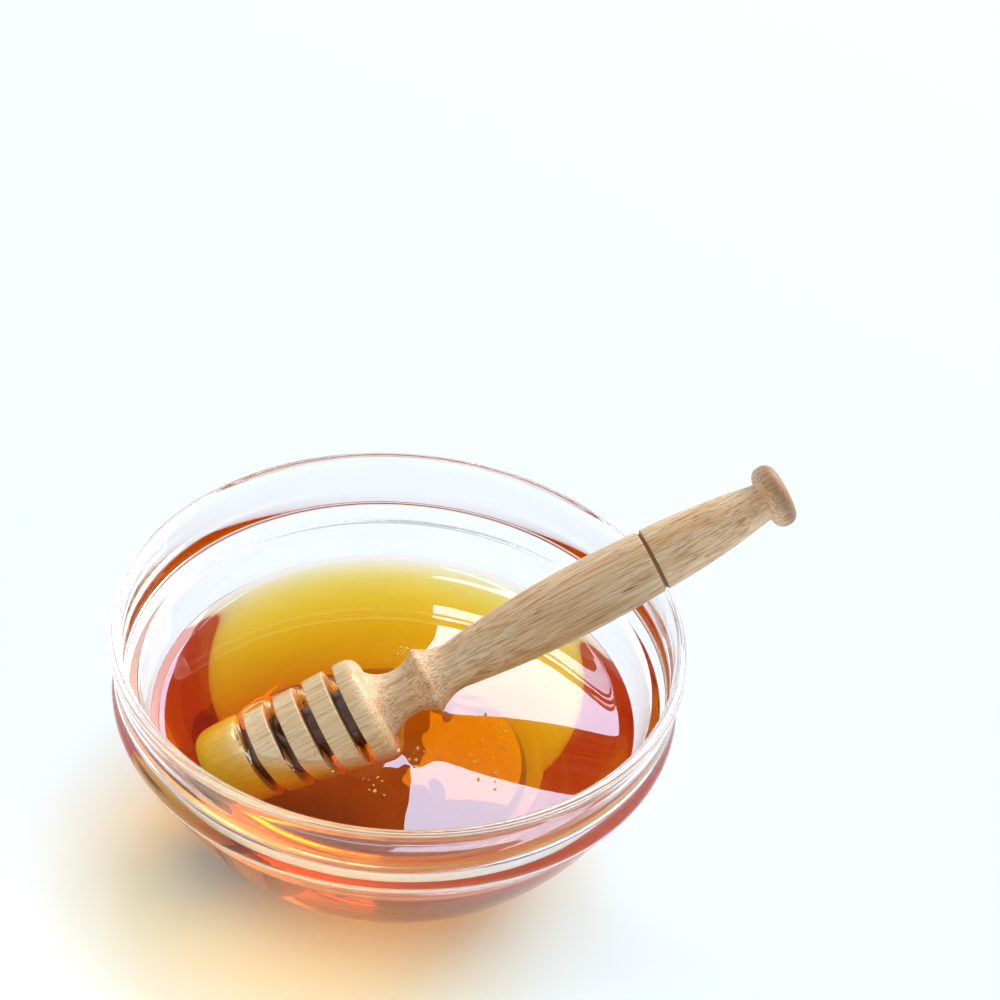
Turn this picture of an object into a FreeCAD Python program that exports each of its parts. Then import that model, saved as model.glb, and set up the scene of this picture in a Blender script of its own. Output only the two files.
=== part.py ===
"""Pressed-glass stacking bowl, part filled with honey, with a turned wooden honey dipper in it.

Millimetres, +Z up. The origin is the centre of the bowl's foot, on the surface it stands on.
The dipper lies in one upright plane through the bowl's axis: its head rests on the inside of the
bowl, in the honey, and its handle rests on the rim.
"""
import FreeCAD, Part
import math
import os
import Sketcher

SIZES = {
    # bowl, collar: the part above the stacking step
    "bowlHeight": 62.0,          # foot to the crest of the rim
    "rimRadius": 70.5,           # outside of the lip
    "lipRound": 1.5,             # radius of the lip's round top, half the lip's thickness
    "lipDrop": 3.0,              # crest of the lip down to its lower edge
    "lipSlope": 1.0,             # height of the slope under the lip
    "lipOverhang": 0.8,          # how far the lip stands out from the collar
    "collarTaper": 0.4,          # the collar's outside narrows by this towards the ring
    "collarDraft": 0.6,          # its inside narrows by this towards the ledge
    "ringTop": 15.7,             # crest of the rim down to the stacking ring
    "ringHeight": 5.1,
    "ringRound": 5.5,            # radius of the ring's bulge
    "stepInset": 2.4,            # how far the body is set in under the ring
    "stepSlope": 0.7,
    "ledgeDepth": 15.1,          # crest of the rim down to the ledge inside
    "ledgeSlope": 0.9,           # fall of the ledge towards the middle
    # bowl, body: ball-shaped down to the foot
    "bodyWall": 5.1,             # glass left beside the hollow, level with the ball's centre
    "hollowDrop": 3.0,           # the ball-shaped hollow is centred this far lower
    "floorThickness": 4.5,
    "floorRound": 15.0,          # bend between floor and wall inside
    "footRadius": 35.0,          # the flat foot that stands on the table
    "footChamfer": 3.3,          # foot out to where the ball begins
    "footRise": 0.85,            # height at which it begins
    "glassEdge": 0.7,            # soft edges of the pressed glass
    "glassFold": 0.5,
    # honey
    "honeyDepth": 29.1,          # crest of the rim down to the honey
    # dipper, lengths one after the other from the tip
    "headLength": 47.2,
    "neckLength": 13.2,
    "beadWidth": 0.7,            # sharp bead between neck and handle
    "waistLength": 8.5,
    "handleLength": 54.9,        # to the scored line
    "taperLength": 30.1,
    "endLength": 1.3,
    "knobThickness": 5.9,
    "knobDome": 0.5,
    # dipper, radii
    "tipRadius": 12.3,
    "headRadius": 14.2,
    "neckStart": 9.6,            # where the neck leaves the head
    "beadRadius": 8.6,
    "waistRadius": 6.15,
    "handleRadius": 8.25,        # at the scored line
    "endRadius": 5.0,
    "knobRadius": 8.25,
    # dipper, radii of its hollows and bulges
    "tipRound": 5.5,
    "headBarrel": 345.0,
    "shoulderRound": 3.4,
    "neckHollow": 8.9,
    "waistHollow": 11.1,
    "handleSwell": 279.0,
    "handleTaper": 193.0,
    "knobRound": 2.7,
    # dipper, cuts
    "firstGroove": 13.1,         # tip to the first groove
    "grooveWidth": 2.9,
    "groovePitch": 8.4,
    "grooveCore": 8.4,           # radius left between the ribs
    "grooveOverrun": 0.5,        # the cutter clears the outside by this
    "scoreWidth": 0.65,          # half the scored line's width
    "scoreDepth": 1.0,
    # how the dipper lies
    "rimToScore": 0.9,           # the rim bears on the handle this far before the scored line
    "restGap": 0.05,             # clearance where the wood bears on the glass
    "heading": 20.3,             # degrees from +X, seen from above
}
GROOVES = 4

# The ball passes through the corner under the stacking step and the corner above the foot.
stepRadius = SIZES["rimRadius"] - SIZES["lipOverhang"] - SIZES["collarTaper"] - SIZES["stepInset"]
stepHeight = SIZES["bowlHeight"] - SIZES["ringTop"] - SIZES["ringHeight"] - SIZES["stepSlope"]
footCorner = SIZES["footRadius"] + SIZES["footChamfer"]
SIZES["globeCentre"] = (
    (stepRadius ** 2 - footCorner ** 2 + stepHeight ** 2 - SIZES["footRise"] ** 2)
    / (2 * (stepHeight - SIZES["footRise"])))
SIZES["globeRadius"] = math.hypot(stepRadius, SIZES["globeCentre"] - stepHeight)

# Places along the bowl and the dipper, as sums of the named sizes.
LIP_CENTRE = "bowlHeight - lipRound"
LIP_EDGE = "bowlHeight - lipDrop"
COLLAR_TOP = "bowlHeight - lipDrop - lipSlope"
RING_TOP = "bowlHeight - ringTop"
RING_FOOT = "bowlHeight - ringTop - ringHeight"
STEP = "bowlHeight - ringTop - ringHeight - stepSlope"
LEDGE = "bowlHeight - ledgeDepth"
LEDGE_FOOT = "bowlHeight - ledgeDepth - ledgeSlope"
HONEY_TOP = "bowlHeight - honeyDepth"
LIP_INSIDE = "rimRadius - lipRound - lipRound"
THROAT = "rimRadius - lipRound - lipRound - collarDraft"
COLLAR = "rimRadius - lipOverhang"
COLLAR_FOOT = "rimRadius - lipOverhang - collarTaper"
BALL = ("globeRadius", "globeCentre")
HOLLOW = ("globeRadius - bodyWall", "globeCentre - hollowDrop")
FLOOR_BEND = "floorThickness + floorRound"
NECK_END = "headLength + neckLength"
BEAD_END = NECK_END + " + beadWidth"
WAIST = BEAD_END + " + waistLength"
SCORE = WAIST + " + handleLength"
TAPER_END = SCORE + " + taperLength"
KNOB = TAPER_END + " + endLength"
KNOB_EDGE = KNOB + " + knobThickness"
DIPPER_END = KNOB_EDGE + " + knobDome"

doc = FreeCAD.newDocument("honey_bowl")
sheet = doc.addObject("Spreadsheet::Sheet", "sizes")
for row, (name, number) in enumerate(SIZES.items(), start=1):
    sheet.set("A%d" % row, name)
    sheet.set("B%d" % row, repr(number))
    sheet.setAlias("B%d" % row, name)
doc.recompute()


def amount(text):
    """Value of a signed sum of named sizes, such as 'bowlHeight - lipRound'."""
    total, sign = 0.0, 1.0
    for word in text.split():
        if word in ("+", "-"):
            sign = 1.0 if word == "+" else -1.0
        else:
            total += sign * sheet.get(word)
    return total


def cells(text):
    """The same sum as an expression on the sheet."""
    return " ".join(word if word in ("+", "-") else "sizes." + word for word in text.split())


def new_body(name):
    body = doc.addObject("PartDesign::Body", name)
    body.Label = name
    return body


def new_sketch(body, name):
    """Sketch on the body's own XZ plane: sketch X is the radius, sketch Y the height."""
    sketch = body.newObject("Sketcher::SketchObject", name)
    plane = [item for item in body.Origin.OriginFeatures if item.Role == "XZ_Plane"][0]
    sketch.AttachmentSupport = (plane, [""])
    sketch.MapMode = "FlatFace"
    return sketch


def bind(sketch, constraint, text):
    """Add a constraint whose value follows the sheet."""
    place = sketch.addConstraint(constraint)
    sketch.setExpression("Constraints[%d]" % place, cells(text))


def pin(sketch, item, end, across, up):
    """Hold one end of an item at a radius and a height; None leaves that way free."""
    if across == "axis":
        sketch.addConstraint(Sketcher.Constraint("PointOnObject", item, end, -2))
    elif across:
        bind(sketch, Sketcher.Constraint("DistanceX", -1, 1, item, end, amount(across)), across)
    if up == "base":
        sketch.addConstraint(Sketcher.Constraint("PointOnObject", item, end, -1))
    elif up:
        bind(sketch, Sketcher.Constraint("DistanceY", -1, 1, item, end, amount(up)), up)


def bend_centre(start, finish, radius, side):
    """Centre of the arc between two points; side is +1 when it lies left of the way from start."""
    way = finish - start
    reach = math.sqrt(radius ** 2 - (way.Length / 2) ** 2)
    left = FreeCAD.Vector(-way.y, way.x, 0).normalize()
    return (start + finish) * 0.5 + left * (side * reach)


def draw_arc(sketch, centre, start, finish, side):
    """Arc from start to finish. Returns its number and which of its ends are start and finish."""
    first = math.atan2(start.y - centre.y, start.x - centre.x)
    last = math.atan2(finish.y - centre.y, finish.x - centre.x)
    if side < 0:
        first, last = last, first
    if last < first:
        last += 2 * math.pi
    circle = Part.Circle(centre, FreeCAD.Vector(0, 0, 1), (start - centre).Length)
    item = sketch.addGeometry(Part.ArcOfCircle(circle, first, last), False)
    return (item, 1, 2) if side > 0 else (item, 2, 1)


def globe_across(up, globe):
    """Radius of a ball-shaped wall at a height. A globe is its radius and its centre's height."""
    radius, centre = globe
    return math.sqrt(amount(radius) ** 2 - (up - amount(centre)) ** 2)


def corner_point(across, up, globe):
    """Where a corner is. On a ball-shaped arc one of its places may be left to the arc."""
    x = 0.0 if across == "axis" else across and amount(across)
    y = 0.0 if up == "base" else up and amount(up)
    if x is None:
        x = globe_across(y, globe)
    if y is None:
        y = amount(globe[1]) - math.sqrt(amount(globe[0]) ** 2 - x ** 2)
    return FreeCAD.Vector(x, y, 0)


def outline(body, name, corners):
    """Sketch of a closed outline.

    Each corner is (radius, height, edge): two sums of named sizes, and how the outline goes on to
    the next corner. The edge is None for a straight line, ('bend', side, radius) for an arc
    between two known corners, ('half', side) for a half circle between two corners of one
    height, or ('ball', side, globe) for an arc of a ball-shaped wall.
    """
    sketch = new_sketch(body, name)
    points = []
    for number, (across, up, edge) in enumerate(corners):
        before = corners[number - 1][2]
        globe = next((e[2] for e in (edge, before) if e and e[0] == "ball"), None)
        points.append(corner_point(across, up, globe))
    ends = []
    for number, (across, up, edge) in enumerate(corners):
        start, finish = points[number], points[(number + 1) % len(points)]
        if edge is None:
            item = sketch.addGeometry(Part.LineSegment(start, finish), False)
            ends.append((item, 1, 2))
            continue
        kind, side = edge[:2]
        if kind == "half":
            centre = (start + finish) * 0.5
        elif kind == "ball":
            centre = FreeCAD.Vector(0, amount(edge[2][1]), 0)
        else:
            centre = bend_centre(start, finish, amount(edge[2]), side)
        ends.append(draw_arc(sketch, centre, start, finish, side))
        item = ends[-1][0]
        if kind == "half":
            pin(sketch, item, 3, None, up)
            continue
        radius = edge[2][0] if kind == "ball" else edge[2]
        bind(sketch, Sketcher.Constraint("Radius", item, amount(radius)), radius)
        if kind == "ball":
            pin(sketch, item, 3, "axis", edge[2][1])
    for number, (across, up, edge) in enumerate(corners):
        item, first, last = ends[number]
        before = ends[number - 1]
        sketch.addConstraint(Sketcher.Constraint("Coincident", before[0], before[2], item, first))
        pin(sketch, item, first, across, up)
    return sketch


def turn(body, name, sketch, kind="Revolution"):
    """Revolve a closed outline about the body's Z axis, to add it or, as a Groove, to cut it."""
    feature = body.newObject("PartDesign::" + kind, name)
    feature.Profile = sketch
    feature.ReferenceAxis = (sketch, ["V_Axis"])
    feature.Angle = 360.0
    doc.recompute()
    return feature


def ring_edges(shape, radius, height):
    """Names of the circular edges about the Z axis at a radius and a height."""
    names = []
    for number, edge in enumerate(shape.Edges, start=1):
        curve = edge.Curve
        if isinstance(curve, Part.Circle):
            if abs(curve.Radius - radius) < 0.01 and abs(curve.Center.z - height) < 0.01:
                names.append("Edge%d" % number)
    if not names:
        raise RuntimeError("no edge at radius %.2f, height %.2f" % (radius, height))
    return names


def soften(body, name, base, places, text):
    """Fillet the circular edges at the given (radius, height) places by one named size."""
    names = []
    for radius, height in places:
        names += ring_edges(base.Shape, radius, height)
    feature = body.newObject("PartDesign::Fillet", name)
    feature.Base = (base, names)
    feature.setExpression("Radius", cells(text))
    doc.recompute()
    return feature


def bend_floor(body, name, base):
    """The round bend between floor and wall, the same in the glass and in the honey."""
    level = amount("floorThickness")
    return soften(body, name, base, [(globe_across(level, HOLLOW), level)], "floorRound")


def make_bowl():
    body = new_body("bowl")
    section = outline(body, "bowl_section", [
        ("axis", "base", None),
        ("footRadius", "base", None),
        ("footRadius + footChamfer", None, ("ball", 1, BALL)),
        (None, STEP, None),
        (COLLAR_FOOT, RING_FOOT, ("bend", 1, "ringRound")),
        (COLLAR_FOOT, RING_TOP, None),
        (COLLAR, COLLAR_TOP, None),
        ("rimRadius", LIP_EDGE, None),
        ("rimRadius", LIP_CENTRE, ("half", 1)),
        (LIP_INSIDE, LIP_CENTRE, None),
        (THROAT, LEDGE, None),
        (None, LEDGE_FOOT, ("ball", -1, HOLLOW)),
        (None, "floorThickness", None),
        ("axis", "floorThickness", None),
    ])
    turned = turn(body, "bowl_turned", section)
    floor = bend_floor(body, "bowl_floor_bend", turned)
    step, ledge = amount(STEP), amount(LEDGE_FOOT)
    edges = soften(body, "bowl_soft_edges", floor, [
        (globe_across(step, BALL), step),
        (amount(COLLAR_FOOT), amount(RING_FOOT)),
        (amount(THROAT), amount(LEDGE)),
        (globe_across(ledge, HOLLOW), ledge),
    ], "glassEdge")
    soften(body, "bowl_soft_folds", edges, [
        (amount(COLLAR), amount(COLLAR_TOP)),
        (amount("rimRadius"), amount(LIP_EDGE)),
        (amount("footRadius"), 0.0),
    ], "glassFold")
    return body


def make_dipper():
    """Turned about its own Z axis, with the tip at the origin."""
    body = new_body("dipper")
    profile = outline(body, "dipper_outline", [
        ("axis", "base", None),
        ("tipRadius", "base", ("bend", 1, "headBarrel")),
        ("headRadius", "headLength", None),
        ("neckStart", "headLength", ("bend", -1, "neckHollow")),
        ("beadRadius", NECK_END, None),
        ("beadRadius", BEAD_END, ("bend", -1, "waistHollow")),
        ("waistRadius", WAIST, ("bend", 1, "handleSwell")),
        ("handleRadius", SCORE, ("bend", 1, "handleTaper")),
        ("endRadius", TAPER_END, None),
        ("endRadius", KNOB, None),
        ("knobRadius", KNOB, None),
        ("knobRadius", KNOB_EDGE, None),
        ("axis", DIPPER_END, None),
    ])
    blank = turn(body, "dipper_turned", profile)
    tip = soften(body, "dipper_tip_round", blank, [(amount("tipRadius"), 0.0)], "tipRound")
    shoulder = soften(body, "dipper_shoulder_round", tip,
                      [(amount("headRadius"), amount("headLength"))], "shoulderRound")
    soften(body, "dipper_knob_round", shoulder, [
        (amount("knobRadius"), amount(KNOB)),
        (amount("knobRadius"), amount(KNOB_EDGE)),
    ], "knobRound")
    notch = outline(body, "dipper_score_section", [
        ("handleRadius - scoreDepth", SCORE, None),
        ("handleRadius", SCORE + " - scoreWidth", None),
        ("handleRadius + grooveOverrun", SCORE + " - scoreWidth", None),
        ("handleRadius + grooveOverrun", SCORE + " + scoreWidth", None),
        ("handleRadius", SCORE + " + scoreWidth", None),
    ])
    turn(body, "dipper_scored_line", notch, "Groove")
    slot = outline(body, "dipper_groove_section", [
        ("grooveCore", "firstGroove", None),
        ("headRadius + grooveOverrun", "firstGroove", None),
        ("headRadius + grooveOverrun", "firstGroove + grooveWidth", None),
        ("grooveCore", "firstGroove + grooveWidth", None),
    ])
    groove = turn(body, "dipper_groove", slot, "Groove")
    grooves = body.newObject("PartDesign::LinearPattern", "dipper_grooves")
    grooves.Originals = [groove]
    grooves.Direction = (slot, ["V_Axis"])
    grooves.setExpression("Length", "sizes.groovePitch * %d" % (GROOVES - 1))
    grooves.Occurrences = GROOVES
    body.Tip = grooves
    doc.recompute()
    return body


def make_honey(dipper):
    """Honey up to its level, cut round the dipper."""
    pour = new_body("honey_pour")
    section = outline(pour, "honey_section", [
        ("axis", "floorThickness", None),
        (None, "floorThickness", ("ball", 1, HOLLOW)),
        (None, HONEY_TOP, None),
        ("axis", HONEY_TOP, None),
    ])
    bend_floor(pour, "honey_floor_bend", turn(pour, "honey_turned", section))
    honey = doc.addObject("Part::Cut", "honey")
    honey.Label = "honey"
    honey.Base = pour
    honey.Tool = dipper
    doc.recompute()
    return honey


def rest_on_rim():
    """Distance of the lip's centre from the dipper's axis, with the handle's swell on the lip."""
    waist = FreeCAD.Vector(amount("waistRadius"), amount(WAIST), 0)
    score = FreeCAD.Vector(amount("handleRadius"), amount(SCORE), 0)
    centre = bend_centre(waist, score, amount("handleSwell"), 1)
    reach = amount("handleSwell + lipRound + restGap")
    return centre.x + math.sqrt(reach ** 2 - (amount(SCORE + " - rimToScore") - centre.y) ** 2)


def tip_circle():
    """Radius at which the centre of the tip's rounding runs about the dipper's axis."""
    tip = FreeCAD.Vector(amount("tipRadius"), 0, 0)
    shoulder = FreeCAD.Vector(amount("headRadius"), amount("headLength"), 0)
    centre = bend_centre(tip, shoulder, amount("headBarrel"), 1)
    reach = amount("headBarrel - tipRound")
    return centre.x + math.sqrt(reach ** 2 - (amount("tipRound") - centre.y) ** 2)


def room_inside(across, up):
    """Distance from a point in the bowl, across from its axis, to the glass below and beside it."""
    radius, hub = amount(HOLLOW[0]), amount(HOLLOW[1])
    bend_up = amount(FLOOR_BEND)
    bend_across = globe_across(bend_up, (HOLLOW[0] + " - floorRound", HOLLOW[1]))
    under_wall = (up - hub) * bend_across < across * (bend_up - hub)
    if across > bend_across and under_wall:
        return amount("floorRound") - math.hypot(across - bend_across, up - bend_up)
    return min(radius - math.hypot(across, up - hub), up - amount("floorThickness"))


def lean_dipper():
    """Placement of the dipper: its handle on the rim, its tip's rounding on the inside."""
    lip = FreeCAD.Vector(amount("rimRadius - lipRound"), 0, amount(LIP_CENTRE))
    beyond = amount(SCORE + " - rimToScore")
    bearing = rest_on_rim()
    needed = amount("tipRound + restGap")

    def tip_at(lean):
        """Tip and centre of the tip's lowest rounding, for a lean in radians."""
        along = FreeCAD.Vector(math.cos(lean), 0, math.sin(lean))
        above = FreeCAD.Vector(-math.sin(lean), 0, math.cos(lean))
        tip = lip - along * beyond + above * bearing
        return tip, tip + along * amount("tipRound") - above * tip_circle()

    shallow, steep = math.radians(2.0), math.radians(60.0)
    for _ in range(60):
        lean = (shallow + steep) / 2
        low = tip_at(lean)[1]
        if room_inside(abs(low.x), low.z) > needed:
            shallow = lean
        else:
            steep = lean
    tip = tip_at(lean)[0]
    upright = FreeCAD.Rotation(FreeCAD.Vector(0, 1, 0), 90.0 - math.degrees(lean))
    heading = FreeCAD.Rotation(FreeCAD.Vector(0, 0, 1), amount("heading"))
    print("dipper leans %.2f degrees, tip at %.2f, %.2f" % (math.degrees(lean), tip.x, tip.z))
    return FreeCAD.Placement(heading.multVec(tip), heading.multiply(upright))


def write_nodes(nodes):
    """Check every object of the document, then write one STEP file for each node."""
    for item in doc.Objects:
        if "Invalid" in item.State or "Error" in item.State:
            raise RuntimeError("%s could not be made: %s" % (item.Label, item.State))
    for node in nodes:
        shape = node.Shape
        if shape.isNull() or not shape.isValid() or len(shape.Solids) != 1:
            raise RuntimeError("%s is not one sound solid" % node.Label)
    os.makedirs("parts", exist_ok=True)
    for node in nodes:
        node.Shape.exportStep("parts/%s.step" % node.Label)
        print("%-8s %10.1f mm3" % (node.Label, node.Shape.Volume))


bowl = make_bowl()
dipper = make_dipper()
dipper.Placement = lean_dipper()
doc.recompute()
honey = make_honey(dipper)
write_nodes([bowl, honey, dipper])
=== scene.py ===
import math
import random

import bmesh
import bpy
from mathutils import Euler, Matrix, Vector, noise
from mathutils.bvhtree import BVHTree


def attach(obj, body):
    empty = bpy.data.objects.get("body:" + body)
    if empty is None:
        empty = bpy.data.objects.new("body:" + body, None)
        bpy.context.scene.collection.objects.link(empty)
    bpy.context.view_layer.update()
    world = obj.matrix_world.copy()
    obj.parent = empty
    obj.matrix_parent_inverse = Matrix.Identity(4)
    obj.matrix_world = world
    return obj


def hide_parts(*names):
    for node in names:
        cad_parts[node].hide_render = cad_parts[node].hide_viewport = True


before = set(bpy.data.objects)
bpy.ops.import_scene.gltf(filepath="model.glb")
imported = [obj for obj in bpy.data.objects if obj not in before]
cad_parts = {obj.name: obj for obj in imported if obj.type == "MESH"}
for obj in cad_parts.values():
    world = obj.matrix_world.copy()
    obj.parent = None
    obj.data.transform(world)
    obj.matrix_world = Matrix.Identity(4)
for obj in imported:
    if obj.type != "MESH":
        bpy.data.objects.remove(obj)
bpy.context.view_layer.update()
mm = 0.001


def toLinear(hexCode):
    parts = [int(hexCode[i:i + 2], 16) / 255 for i in (1, 3, 5)]
    return tuple(c / 12.92 if c <= 0.04045 else ((c + 0.055) / 1.055) ** 2.4 for c in parts) + (1.0,)


def addNode(tree, kind, settings=None, links=None):
    node = tree.nodes.new(kind)
    for key, value in (settings or {}).items():
        if isinstance(key, str) and hasattr(node, key):
            setattr(node, key, value)
        else:
            node.inputs[key].default_value = value
    for key, source in (links or {}).items():
        tree.links.new(source, node.inputs[key])
    return node


def newMaterial(name):
    material = bpy.data.materials.new(name)
    material.use_nodes = True
    material.node_tree.nodes.clear()
    return material, material.node_tree


def dress(piece, material):
    piece.data.materials.clear()
    piece.data.materials.append(material)


def editOnly(piece):
    if bpy.context.object and bpy.context.object.mode == "EDIT":
        bpy.ops.object.mode_set(mode="OBJECT")
    bpy.ops.object.select_all(action="DESELECT")
    piece.select_set(True)
    bpy.context.view_layer.objects.active = piece
    bpy.ops.object.mode_set(mode="EDIT")


def doneEditing():
    bpy.ops.object.mode_set(mode="OBJECT")
    bpy.ops.object.select_all(action="DESELECT")


# A turned shape starts as one point that is drawn out along its outline, and is then spun.
def drawOutline(name, points):
    bpy.ops.object.select_all(action="DESELECT")
    bpy.ops.mesh.primitive_plane_add(size=0.002, location=(0, 0, 0))
    piece = bpy.context.object
    piece.name = piece.data.name = name
    editOnly(piece)
    bpy.ops.mesh.select_all(action="SELECT")
    bpy.ops.mesh.merge(type="CENTER")
    bpy.ops.transform.translate(value=(points[0][0] * mm, 0, points[0][1] * mm))
    for here, there in zip(points, points[1:]):
        step = ((there[0] - here[0]) * mm, 0, (there[1] - here[1]) * mm)
        bpy.ops.mesh.extrude_vertices_move(TRANSFORM_OT_translate={"value": step})
    return piece


def spinOutline(piece, steps):
    bpy.ops.mesh.select_all(action="SELECT")
    bpy.ops.mesh.spin(steps=steps, angle=math.tau, center=(0, 0, 0), axis=(0, 0, 1))
    bpy.ops.mesh.select_all(action="SELECT")
    bpy.ops.mesh.remove_doubles(threshold=0.00001)
    bpy.ops.mesh.normals_make_consistent(inside=False)
    doneEditing()


def shadeSmooth(piece, degrees):
    bpy.ops.object.select_all(action="DESELECT")
    piece.select_set(True)
    bpy.context.view_layer.objects.active = piece
    bpy.ops.object.shade_smooth_by_angle(angle=math.radians(degrees))
    bpy.ops.object.select_all(action="DESELECT")


def arc(centre, radius, first, last, steps):
    turns = [math.radians(first + (last - first) * i / steps) for i in range(steps + 1)]
    return [(centre[0] + radius * math.cos(t), centre[1] + radius * math.sin(t)) for t in turns]


def arcBetween(start, finish, radius, side, steps):
    a, b = Vector(start), Vector(finish)
    way = b - a
    left = Vector((-way.y, way.x)).normalized()
    centre = (a + b) / 2 + left * side * math.sqrt(radius ** 2 - (way.length / 2) ** 2)
    first = math.atan2(a.y - centre.y, a.x - centre.x)
    last = math.atan2(b.y - centre.y, b.x - centre.x)
    while side > 0 and last < first:
        last += math.tau
    while side < 0 and last > first:
        last -= math.tau
    return arc(centre, radius, math.degrees(first), math.degrees(last), steps)


# Each corner is (across, up) or (across, up, softness); a soft corner becomes a small arc.
def softCorners(corners, steps=4):
    points = []
    for i, corner in enumerate(corners):
        here = Vector(corner[:2])
        soft = corner[2] if len(corner) > 2 else 0
        if not soft or i in (0, len(corners) - 1):
            points.append(tuple(here))
            continue
        before = (Vector(corners[i - 1][:2]) - here).normalized()
        after = (Vector(corners[i + 1][:2]) - here).normalized()
        half = before.angle(after) / 2
        back = soft / math.tan(half)
        middle = here + (before + after).normalized() * soft / math.sin(half)
        first, last = here + before * back - middle, here + after * back - middle
        start = math.atan2(first.y, first.x)
        turn = math.remainder(math.atan2(last.y, last.x) - start, math.tau)
        points += arc(middle, soft, math.degrees(start), math.degrees(start + turn), steps)
    return points


# The bowl is pressed soda-lime glass; sizes in mm, from the foot up.
bowl = dict(height=62, rim=70.5, lipRound=1.5, lipDrop=3, lipSlope=1, overhang=0.8, taper=0.4, draft=0.6,
            ringTop=15.7, ringHeight=5.1, ringRound=5.5, stepInset=2.4, stepSlope=0.7,
            ledgeDepth=15.1, ledgeSlope=0.9, wall=5.1, hollowDrop=3, floor=4.5, floorRound=15,
            foot=35, footChamfer=3.3, footRise=0.85, edge=0.7, fold=0.5,
            footRings=(12, 24), floorRings=6, bendSteps=12, wallSteps=40, ringSteps=10, lipSteps=14,
            steps=192, smooth=35)


def globeSizes(b):
    stepAcross = b["rim"] - b["overhang"] - b["taper"] - b["stepInset"]
    stepUp = b["height"] - b["ringTop"] - b["ringHeight"] - b["stepSlope"]
    footAcross = b["foot"] + b["footChamfer"]
    centre = ((stepAcross ** 2 - footAcross ** 2 + stepUp ** 2 - b["footRise"] ** 2)
              / (2 * (stepUp - b["footRise"])))
    return centre, math.hypot(stepAcross, centre - stepUp), stepUp


globeUp, globeRound, stepUp = globeSizes(bowl)
hollowUp, hollowRound = globeUp - bowl["hollowDrop"], globeRound - bowl["wall"]


def angleOn(up, centre, radius):
    return math.degrees(math.asin((up - centre) / radius))


# Floor and ball-shaped wall of the hollow, from the axis out and up to a height.
# Grow moves the line into the glass.
def hollowLine(b, upTo, steps, grow=0.0):
    radius, level, bend = hollowRound + grow, b["floor"] - grow, b["floorRound"] + grow
    bendUp = level + bend
    bendAcross = math.sqrt((radius - bend) ** 2 - (bendUp - hollowUp) ** 2)
    meet = math.degrees(math.atan2(bendUp - hollowUp, bendAcross))
    line = [(bendAcross * i / b["floorRings"], level) for i in range(b["floorRings"])]
    line += arc((bendAcross, bendUp), bend, -90, meet, b["bendSteps"])
    line += arc((0, hollowUp), radius, meet, angleOn(upTo, hollowUp, radius), steps)[1:]
    return line


def bowlLine(b):
    crest, collar = b["height"], b["rim"] - b["overhang"]
    throat = b["rim"] - 2 * b["lipRound"]
    ledge = crest - b["ledgeDepth"]
    outside = arc((0, globeUp), globeRound, angleOn(b["footRise"], globeUp, globeRound),
                  angleOn(stepUp, globeUp, globeRound), b["wallSteps"])
    ring = arcBetween((collar - b["taper"], crest - b["ringTop"] - b["ringHeight"]),
                      (collar - b["taper"], crest - b["ringTop"]), b["ringRound"], 1, b["ringSteps"])
    lip = arc((b["rim"] - b["lipRound"], crest - b["lipRound"]), b["lipRound"], 0, 180, b["lipSteps"])
    inside = hollowLine(b, ledge - b["ledgeSlope"], b["wallSteps"])
    corners = [(0, 0)] + [(across, 0) for across in b["footRings"]] + [(b["foot"], 0, b["fold"])]
    corners += outside[:-1] + [(*outside[-1], b["edge"]), (*ring[0], b["edge"])] + ring[1:]
    corners += [(collar, crest - b["lipDrop"] - b["lipSlope"], b["fold"]),
                (b["rim"], crest - b["lipDrop"], b["fold"])]
    corners += lip + [(throat - b["draft"], ledge, b["edge"]), (*inside[-1], b["edge"])] + inside[-2::-1]
    return softCorners(corners)


glassBowl = drawOutline("glassBowl", bowlLine(bowl))
spinOutline(glassBowl, bowl["steps"])
shadeSmooth(glassBowl, bowl["smooth"])
print("bowl", len(glassBowl.data.polygons))


# The dipper is turned beech; sizes in mm, from the tip.
dipper = dict(head=47.2, neck=13.2, bead=0.7, waist=8.5, handle=54.9, taper=30.1, end=1.3, knob=5.9, dome=0.5,
              tipR=12.3, headR=14.2, neckR=9.6, beadR=8.6, waistR=6.15, handleR=8.25, endR=5.0, knobR=8.25,
              tipRound=5.5, headBarrel=345, shoulderRound=3.4, neckHollow=8.9, waistHollow=11.1,
              handleSwell=279, handleTaper=193, knobRound=2.7,
              groove=13.1, grooveWidth=2.9, pitch=8.4, core=8.4, grooves=4, ribEdge=0.35,
              score=0.65, scoreDepth=1.0, scoreEdge=0.25, scoreFloor=0.2, cutEdge=0.3,
              tipMiddle=4, knobMiddle=3, domeShare=0.8, tipRings=(7, 10), ribRings=(1.4, 2.75, 4.1),
              headSteps=60, neckSteps=16, waistSteps=12, handleSteps=40, taperSteps=24, edgeSteps=5,
              steps=128, smooth=40)
lying = dict(heading=20.3, lean=25.72, tipAcross=-46.63, tipUp=15.75)  # as it rests in the bowl


def headRadius(d, along):
    curve = arcBetween((d["tipR"], 0), (d["headR"], d["head"]), d["headBarrel"], 1, d["headSteps"])
    for (r0, a0), (r1, a1) in zip(curve, curve[1:]):
        if a0 <= along <= a1 + 1e-9:
            return r0 + (r1 - r0) * (along - a0) / (a1 - a0)
    return d["headR"]


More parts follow.
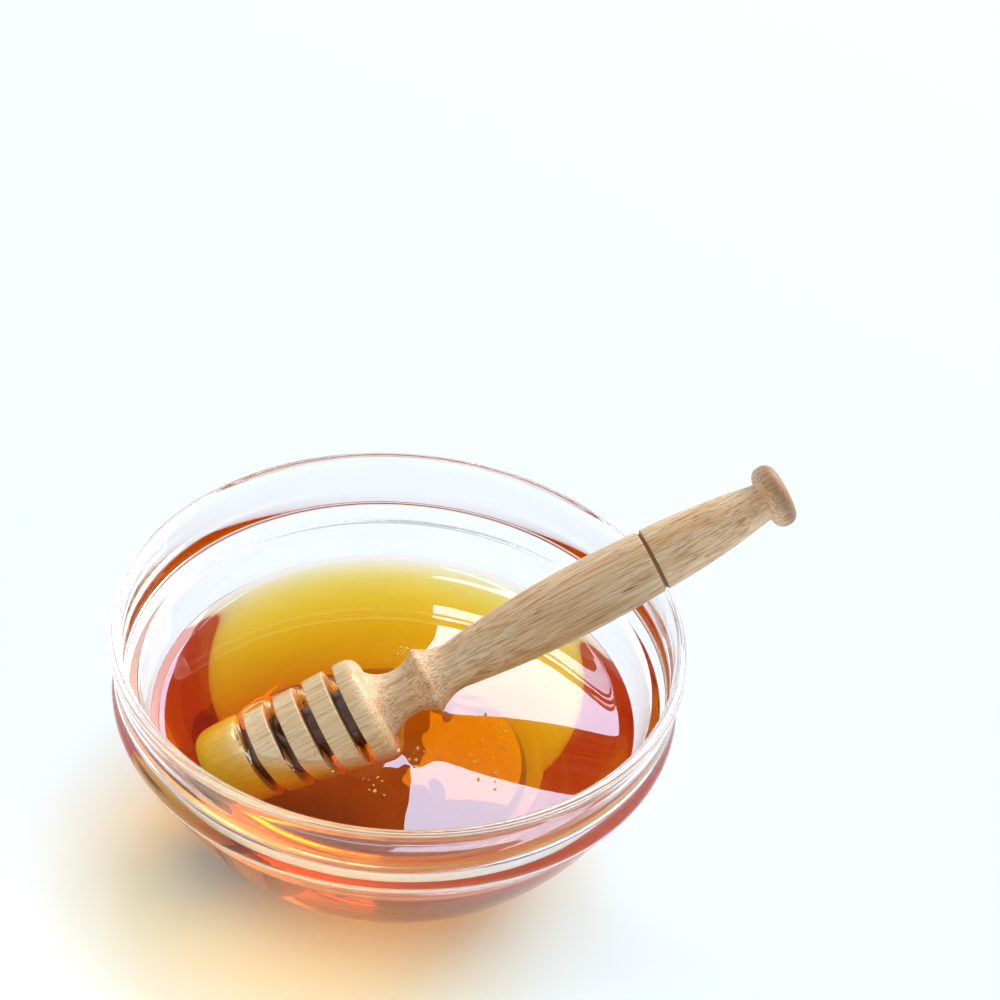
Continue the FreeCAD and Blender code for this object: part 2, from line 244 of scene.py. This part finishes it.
def dipperLine(d):
    corners = [(0, 0), (d["tipMiddle"], 0), (d["tipR"], 0, d["tipRound"])]
    corners += [(headRadius(d, along), along) for along in d["tipRings"]]
    for i in range(d["grooves"]):
        low = d["groove"] + i * d["pitch"]
        high = low + d["grooveWidth"]
        corners += [(headRadius(d, low), low, d["ribEdge"]), (d["core"], low, d["cutEdge"]),
                    (d["core"], high, d["cutEdge"]), (headRadius(d, high), high, d["ribEdge"])]
        if i < d["grooves"] - 1:
            corners += [(headRadius(d, high + k), high + k) for k in d["ribRings"]]
    neckEnd = d["head"] + d["neck"]
    waist = neckEnd + d["bead"] + d["waist"]
    score = waist + d["handle"]
    taper = score + d["taper"]
    knob = taper + d["end"]
    knobEnd = knob + d["knob"]
    corners += [(d["headR"], d["head"], d["shoulderRound"])]
    corners += arcBetween((d["neckR"], d["head"]), (d["beadR"], neckEnd), d["neckHollow"], -1, d["neckSteps"])
    corners += arcBetween((d["beadR"], neckEnd + d["bead"]), (d["waistR"], waist),
                          d["waistHollow"], -1, d["waistSteps"])
    corners += arcBetween((d["waistR"], waist), (d["handleR"], score),
                          d["handleSwell"], 1, d["handleSteps"])[1:-2]
    corners += [(d["handleR"], score - d["score"], d["scoreEdge"]),
                (d["handleR"] - d["scoreDepth"], score, d["scoreFloor"]),
                (d["handleR"], score + d["score"], d["scoreEdge"])]
    corners += arcBetween((d["handleR"], score), (d["endR"], taper), d["handleTaper"], 1, d["taperSteps"])[2:]
    corners += [(d["endR"], knob, d["cutEdge"]), (d["knobR"], knob, d["knobRound"]),
                (d["knobR"], knobEnd, d["knobRound"]),
                (d["knobMiddle"], knobEnd + d["dome"] * d["domeShare"]), (0, knobEnd + d["dome"])]
    return softCorners(corners, d["edgeSteps"])


woodDipper = drawOutline("beechDipper", dipperLine(dipper))
spinOutline(woodDipper, dipper["steps"])
shadeSmooth(woodDipper, dipper["smooth"])

heading, lean = math.radians(lying["heading"]), math.radians(lying["lean"])
lyingTurn = Euler((0, math.pi / 2 - lean, heading))
lyingPlace = Vector((lying["tipAcross"] * math.cos(heading), lying["tipAcross"] * math.sin(heading),
                     lying["tipUp"])) * mm
woodDipper.rotation_euler = lyingTurn
woodDipper.location = lyingPlace
woodDipper.select_set(True)
bpy.context.view_layer.objects.active = woodDipper
bpy.ops.object.transform_apply(location=True, rotation=True, scale=True)
bpy.ops.object.select_all(action="DESELECT")


# The honey fills the hollow to its level and climbs a little on the glass and on the wood.
honey = dict(top=32.9, intoGlass=0.12, ringStep=0.9, wallRise=1.1, wallReach=1.5, woodRise=1.1, woodReach=0.9,
             ripple=(0.05, 14, 25), curl=(0.07, 4.5, 4),  # height, size and reach from the wood
             calmFrom=59.5, calmOver=6,  # the surface is calm again at the glass
             finerNear=(7, 3.2), finerBelow=1, climbBelow=0.5,  # the mesh is finer near the wood
             wallSteps=34, steps=192, smooth=60)


def honeyLine(h):
    top = h["top"] + h["wallRise"]
    line = hollowLine(bowl, top, h["wallSteps"], h["intoGlass"])
    edge = line[-1][0]
    rings = int(edge / h["ringStep"])
    for i in range(1, rings + 1):
        across = edge * (1 - i / rings)
        line.append((across, h["top"] + h["wallRise"] * math.exp(-(edge - across) / h["wallReach"])))
    return line


honeyFill = drawOutline("honeyFill", honeyLine(honey))
spinOutline(honeyFill, honey["steps"])

woodMesh = bmesh.new()
woodMesh.from_mesh(woodDipper.data)
woodTree = BVHTree.FromBMesh(woodMesh)


def nearWood(place):
    return woodTree.find_nearest(place)[3] / mm


def onTop(face):
    return face.normal.z > 0.5 and face.calc_center_median().z > (honey["top"] - honey["finerBelow"]) * mm


for reach in honey["finerNear"]:
    editOnly(honeyFill)
    bpy.ops.mesh.select_all(action="DESELECT")
    shape = bmesh.from_edit_mesh(honeyFill.data)
    for face in shape.faces:
        face.select_set(onTop(face) and nearWood(face.calc_center_median()) < reach)
    bmesh.update_edit_mesh(honeyFill.data)
    bpy.ops.mesh.subdivide(number_cuts=1)
    doneEditing()

for point in honeyFill.data.vertices:
    across = math.hypot(point.co.x, point.co.y) / mm
    if point.co.z > (honey["top"] - honey["climbBelow"]) * mm:
        gap = nearWood(point.co)
        climb = honey["woodRise"] * math.exp(-gap / honey["woodReach"])
        for height, size, reach in (honey["ripple"], honey["curl"]):
            climb += height * noise.noise(point.co / (size * mm)) * math.exp(-gap / reach)
        calm = min(1.0, max(0.0, (honey["calmFrom"] - across) / honey["calmOver"]))
        point.co.z += climb * mm * calm
shadeSmooth(honeyFill, honey["smooth"])
print("honey", len(honeyFill.data.polygons))


# Bubbles are caught in the honey's skin.
bubbles = dict(count=54, smallest=0.2, largest=0.5, clearOfWood=1.2, seed=7, fineness=2, smooth=60,
               spots=(((9, -15), 5), ((23, -11), 6), ((26, -2), 5),  # middle and spread of each cluster
                      ((25, -20), 5), ((-3, -26), 4), ((0, 22), 3)))


def makeBubbles(b):
    chance = random.Random(b["seed"])
    made = []
    for i in range(b["count"]):
        (x, y), spread = b["spots"][i % len(b["spots"])]
        turn, out = chance.uniform(0, math.tau), spread * math.sqrt(chance.random())
        place = Vector((x + out * math.cos(turn), y + out * math.sin(turn), honey["top"])) * mm
        size = b["smallest"] + (b["largest"] - b["smallest"]) * chance.random() ** 2
        if nearWood(place) < b["clearOfWood"]:
            continue
        bpy.ops.mesh.primitive_ico_sphere_add(subdivisions=b["fineness"], radius=size * mm, location=place)
        made.append(bpy.context.object)
    for piece in made:
        piece.select_set(True)
    bpy.context.view_layer.objects.active = made[0]
    bpy.ops.object.join()
    piece = bpy.context.object
    bpy.ops.object.transform_apply(location=True, rotation=True, scale=True)
    piece.name = piece.data.name = "honeyBubbles"
    return piece


bpy.ops.object.select_all(action="DESELECT")
honeyBubbles = makeBubbles(bubbles)
shadeSmooth(honeyBubbles, bubbles["smooth"])
print("bubbles", len(honeyBubbles.data.polygons))


# Lamps shine through glass and honey in a straight line, and the tint and the honey's depth colour them.
def letLampsThrough(tree, shader, tint):
    ray = addNode(tree, "ShaderNodeLightPath")
    clear = addNode(tree, "ShaderNodeBsdfTransparent", {"Color": toLinear(tint)})
    return addNode(tree, "ShaderNodeMixShader", links={
        0: ray.outputs["Is Shadow Ray"], 1: shader.outputs[0], 2: clear.outputs[0]}).outputs[0]


# The foot's tint and lamp tint are painted shade: they darken the foot and the table seen and lit through it.
glass = dict(ior=1.51, lampTint="#F6F9F8", footShadeTint="#B8A898", footRoughness=0.35, footShadowTint="#AC9E9E")


def glassMaterial():  # pressed soda-lime glass, fire-polished: clear and smooth, with bright edges
    material, tree = newMaterial("sodaLimeGlass")
    shell = addNode(tree, "ShaderNodeBsdfPrincipled", {
        "Base Color": toLinear("#FFFFFF"), "Roughness": 0.0, "IOR": glass["ior"], "Transmission Weight": 1.0})
    addNode(tree, "ShaderNodeOutputMaterial", links={
        "Surface": letLampsThrough(tree, shell, glass["lampTint"])})
    return material


def footMaterial():  # the foot is ground flat: frosted and a little dull; its grey-brown tint and darker lamp tint are painted shade on the foot and the table under it
    material, tree = newMaterial("groundGlassPaintedShade")
    frost = addNode(tree, "ShaderNodeBsdfPrincipled", {
        "Base Color": toLinear(glass["footShadeTint"]), "Roughness": glass["footRoughness"], "IOR": glass["ior"],
        "Transmission Weight": 1.0})
    addNode(tree, "ShaderNodeOutputMaterial", links={
        "Surface": letLampsThrough(tree, frost, glass["footShadowTint"])})
    return material


syrup = dict(ior=1.49, depthColour="#FCEE00", density=195.0, lampTint="#DCCB82")


def honeyMaterial():  # clear amber honey: wet gloss, yellow where thin and red-orange where deep
    material, tree = newMaterial("amberHoney")
    skin = addNode(tree, "ShaderNodeBsdfPrincipled", {
        "Base Color": toLinear("#FFFFFF"), "Roughness": 0.0, "IOR": syrup["ior"], "Transmission Weight": 1.0})
    depth = addNode(tree, "ShaderNodeVolumeAbsorption", {
        "Color": toLinear(syrup["depthColour"]), "Density": syrup["density"]})
    addNode(tree, "ShaderNodeOutputMaterial", links={
        "Surface": letLampsThrough(tree, skin, syrup["lampTint"]), "Volume": depth.outputs[0]})
    return material


# Each streak has a width and length in mm, a detail and an offset. Real flecks are finer than these, which
# are drawn wide enough to show. The pairs are where a tone starts and stops to fade, in mm.
# The darker tone at the knob end is partly end grain and partly painted shade.
# The groove colour is painted shade on the groove floors of the head.
# The pale tone on the wood below the honey line is painted light.
wood = dict(pale="#FFE0B6", warm="#EFC08C", shade="#B57A45", fleck="#5E3216", film="#F3CF8C",
            paintedLightUnderHoney="#FBE6C4", groove="#6E3E18", score="#A87650", endGrainAndShade="#946240",
            rings=(4.5, 60, 2, 0.0), fibres=(0.5, 16, 3, 0.3), flecks=(0.36, 11.0, 2, 0.7), streakSoft=0.55,
            headEnd=(44.5, 47.5), core=(8.8, 11.2), honeyLine=(37.5, 41.5), knobEnd=(156.2, 160.0),
            scoreAt=124.5, scoreHalf=0.5, patchSize=2.2, patchRise=9, filmShare=0.4,
            roughness=0.5, ior=1.5, wetRoughness=0.08, relief=0.2, reliefStrength=0.25)


def woodMaterial():  # turned beech, sanded and unvarnished: pale tan, brown flecks along the grain, wet head
    material, tree = newMaterial("turnedBeech")
    place = addNode(tree, "ShaderNodeTexCoord").outputs["Object"]
    along = addNode(tree, "ShaderNodeMapping", {  # runs with the grain, from the tip
        "vector_type": "TEXTURE", "Location": lyingPlace, "Rotation": lyingTurn},
        {"Vector": place}).outputs[0]
    streaks = []
    for width, length, detail, offset in (wood["rings"], wood["fibres"], wood["flecks"]):
        drawn = addNode(tree, "ShaderNodeMapping", {
            "Location": (offset, 0, 0), "Scale": (1, 1, width / length)}, {"Vector": along})
        streaks.append(addNode(tree, "ShaderNodeTexNoise", {
            "Scale": 1 / (width * mm), "Detail": detail, "Roughness": wood["streakSoft"]},
            {"Vector": drawn.outputs[0]}).outputs["Fac"])

    # Places on the dipper: along its axis, out from it, and up from the table with a ragged edge.
    local = addNode(tree, "ShaderNodeSeparateXYZ", links={"Vector": along}).outputs
    flat = addNode(tree, "ShaderNodeCombineXYZ", links={"X": local["X"], "Y": local["Y"]})
    across = addNode(tree, "ShaderNodeVectorMath", {"operation": "LENGTH"},
                     {0: flat.outputs[0]}).outputs["Value"]
    height = addNode(tree, "ShaderNodeSeparateXYZ", links={"Vector": place}).outputs["Z"]
    patch = addNode(tree, "ShaderNodeTexNoise", {"Scale": 1 / (wood["patchSize"] * mm), "Detail": 2.0},
                    {"Vector": place}).outputs["Fac"]
    ragged = addNode(tree, "ShaderNodeMath", {
        "operation": "MULTIPLY_ADD", 1: wood["patchRise"] * mm}, {0: patch, 2: height}).outputs[0]

    masks = {}  # each reads a value, and goes from one share to another between two limits
    for name, value, low, high, start, end in (
            ("ring", streaks[0], 0.3, 0.7, 0.0, 1.0),
            ("fibre", streaks[1], 0.4, 0.72, 0.0, 0.75),
            ("fleck", streaks[2], 0.64, 0.72, 0.0, 0.9),
            ("head", local["Z"], *[n * mm for n in wood["headEnd"]], 1.0, 0.0),
            ("core", across, *[n * mm for n in wood["core"]], 1.0, 0.0),
            # painted light: the wood below the ragged honey line is made paler
            ("paintedLightUnderHoney", ragged, *[n * mm for n in wood["honeyLine"]], 0.45, 0.0),
            # end grain and painted shade: the tone darkens towards the knob end
            ("endGrainAndShade", local["Z"], *[n * mm for n in wood["knobEnd"]], 0.0, 0.7),
            ("wet", patch, 0.35, 0.6, 0.35, 1.0)):
        masks[name] = addNode(tree, "ShaderNodeMapRange", {
            "interpolation_type": "SMOOTHSTEP", "From Min": low, "From Max": high,
            "To Min": start, "To Max": end}, {"Value": value}).outputs["Result"]
    film = addNode(tree, "ShaderNodeMath", {"operation": "MULTIPLY", 1: wood["filmShare"]},
                   {0: masks["head"]})
    # painted shade: the groove floors of the head are darkened
    grooveShade = addNode(tree, "ShaderNodeMath", {"operation": "MULTIPLY"},
                       {0: masks["core"], 1: masks["head"]})
    coat = addNode(tree, "ShaderNodeMath", {"operation": "MULTIPLY"}, {0: masks["head"], 1: masks["wet"]})
    inScore = addNode(tree, "ShaderNodeMath", {
        "operation": "COMPARE", 1: wood["scoreAt"] * mm, 2: wood["scoreHalf"] * mm}, {0: local["Z"]})

    tone = None  # each colour lies over the ones before it
    for factor, colour in ((masks["ring"], "warm"), (masks["fibre"], "shade"), (masks["fleck"], "fleck"),
                           (film.outputs[0], "film"), (masks["paintedLightUnderHoney"], "paintedLightUnderHoney"),
                           (grooveShade.outputs[0], "groove"), (inScore.outputs[0], "score"),
                           (masks["endGrainAndShade"], "endGrainAndShade")):
        tone = addNode(tree, "ShaderNodeMix", {
            "data_type": "RGBA", 6: toLinear(wood["pale"]), 7: toLinear(wood[colour])},
            {0: factor, 6: tone} if tone else {0: factor}).outputs[2]
    relief = addNode(tree, "ShaderNodeBump", {
        "Strength": wood["reliefStrength"], "Distance": wood["relief"] * mm}, {"Height": streaks[1]})
    finish = addNode(tree, "ShaderNodeBsdfPrincipled", {
        "Roughness": wood["roughness"], "IOR": wood["ior"], "Coat Roughness": wood["wetRoughness"],
        "Coat IOR": syrup["ior"]},
        {"Base Color": tone, "Coat Weight": coat.outputs[0], "Normal": relief.outputs[0]})
    addNode(tree, "ShaderNodeOutputMaterial", links={"Surface": finish.outputs[0]})
    return material


def bubbleMaterial():  # a thin skin of honey over air: a small golden bead
    material, tree = newMaterial("bubbleSkin")
    skin = addNode(tree, "ShaderNodeBsdfPrincipled", {
        "Base Color": toLinear("#FFD774"), "Roughness": 0.12, "IOR": 1.45, "Transmission Weight": 0.3})
    addNode(tree, "ShaderNodeOutputMaterial", links={"Surface": skin.outputs[0]})
    return material


dress(glassBowl, glassMaterial())
glassBowl.data.materials.append(footMaterial())
for face in glassBowl.data.polygons:
    if abs(face.center.z) < 0.05 * mm:  # the flat of the foot
        face.material_index = 1
dress(honeyFill, honeyMaterial())
dress(woodDipper, woodMaterial())
dress(honeyBubbles, bubbleMaterial())

for piece, node, slotName in ((glassBowl, "bowl", "glass"), (honeyFill, "honey", "honey"),
                              (woodDipper, "dipper", "beech"), (honeyBubbles, None, "honey")):
    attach(piece, "root")
    if node:
        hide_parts(node)
print("materials", len(bpy.data.materials))


# A pale table, a bright panel behind on the right and a soft room.
# The room lights the part at one level and shows in glass at another. A dim patch of it behind the bowl
# keeps glare off the honey.
studio = dict(tableUp=-0.2, tableRadius=6, room=0.55, roomSeen=0.95, roomTint="#F2F8FF", tableTint="#F1F8FD",
              dimRoom=0.12, dimAzimuth=103, dimHeight=36, dimFrom=0.84, dimTo=0.95)
lamps = (  # name, azimuth, height, distance, size, brightness against white, tint
    ("backPanel", 83.5, 43.5, 8.0, (1.12, 2.1), 15.0, "#C4E0FF"),
    ("window", 50, 36, 8.0, (6.0, 4.6), 7.6, "#FFFDFA"))

bpy.ops.mesh.primitive_circle_add(vertices=96, radius=studio["tableRadius"], fill_type="NGON",
                                  location=(0, 0, studio["tableUp"] * mm))
table = bpy.context.object
table.name = table.data.name = "table"
tableMaterial, tree = newMaterial("matteTable")
matte = addNode(tree, "ShaderNodeBsdfDiffuse", {"Color": toLinear(studio["tableTint"])})
addNode(tree, "ShaderNodeOutputMaterial", links={"Surface": matte.outputs[0]})
dress(table, tableMaterial)


def direction(azimuth, height):
    a, e = math.radians(azimuth), math.radians(height)
    return Vector((math.cos(e) * math.cos(a), math.cos(e) * math.sin(a), math.sin(e)))


def aimAt(thing, target, roll=0.0):
    way = Vector(target) - thing.location
    turn = way.to_track_quat("-Z", "Y")
    thing.rotation_euler = (turn.to_matrix() @ Euler((0, 0, roll)).to_matrix()).to_euler()


def addPanel(name, azimuth, height, distance, size, brightness, tint):
    lamp = bpy.data.lights.new(name, "AREA")
    lamp.shape, lamp.size, lamp.size_y = "RECTANGLE", *size
    lamp.energy, lamp.color = brightness * math.pi * size[0] * size[1], toLinear(tint)[:3]
    holder = bpy.data.objects.new(name, lamp)
    bpy.context.scene.collection.objects.link(holder)
    holder.location = direction(azimuth, height) * distance
    aimAt(holder, (0, 0, 0))


for lamp in lamps:
    addPanel(*lamp)

room = bpy.data.worlds.new("room")
bpy.context.scene.world = room
room.use_nodes = True
room.node_tree.nodes.clear()
sky = addNode(room.node_tree, "ShaderNodeTexCoord")
toward = addNode(room.node_tree, "ShaderNodeVectorMath", {
    "operation": "DOT_PRODUCT", 1: direction(studio["dimAzimuth"], studio["dimHeight"])},
    {0: sky.outputs["Generated"]})
lit, seen = [
    addNode(room.node_tree, "ShaderNodeMapRange", {
        "interpolation_type": "SMOOTHSTEP", "From Min": studio["dimFrom"], "From Max": studio["dimTo"],
        "To Min": brightness, "To Max": studio["dimRoom"]},
        {"Value": toward.outputs["Value"]}).outputs["Result"]
    for brightness in (studio["room"], studio["roomSeen"])]
ray = addNode(room.node_tree, "ShaderNodeLightPath").outputs
shows = addNode(room.node_tree, "ShaderNodeMath", {"operation": "MAXIMUM"}, {
    0: ray["Is Glossy Ray"], 1: ray["Is Transmission Ray"]}).outputs[0]
inGlass = addNode(room.node_tree, "ShaderNodeMix", {}, {0: shows, 2: lit, 3: seen}).outputs[0]
strength = addNode(room.node_tree, "ShaderNodeMix", {"B": 1.0},
                   {0: ray["Is Camera Ray"], 2: inGlass}).outputs[0]
air = addNode(room.node_tree, "ShaderNodeBackground", {"Color": toLinear(studio["roomTint"])},
              {"Strength": strength})
addNode(room.node_tree, "ShaderNodeOutputWorld", links={"Surface": air.outputs[0]})
print("studio", len(lamps), "lamps")

# The camera's place and what it looks at, in mm, and its turn in degrees.
view = dict(place=(0, -433.65, 442.59), aim=(25.11, 89.44, 33.0), roll=6.08, lens=85)
eye = bpy.data.cameras.new("camera")
eye.lens, eye.sensor_width = view["lens"], 36
camera = bpy.data.objects.new("camera", eye)
bpy.context.scene.collection.objects.link(camera)
camera.location = Vector(view["place"]) * mm
aimAt(camera, Vector(view["aim"]) * mm, math.radians(view["roll"]))
bpy.context.scene.camera = camera
bpy.context.scene.view_settings.view_transform = "Standard"
bpy.context.scene.cycles.max_bounces = 26  # light passes many faces of glass and honey
bpy.context.scene.cycles.transmission_bounces = 26
bpy.context.scene.cycles.glossy_bounces = 16
bpy.context.scene.cycles.transparent_max_bounces = 24
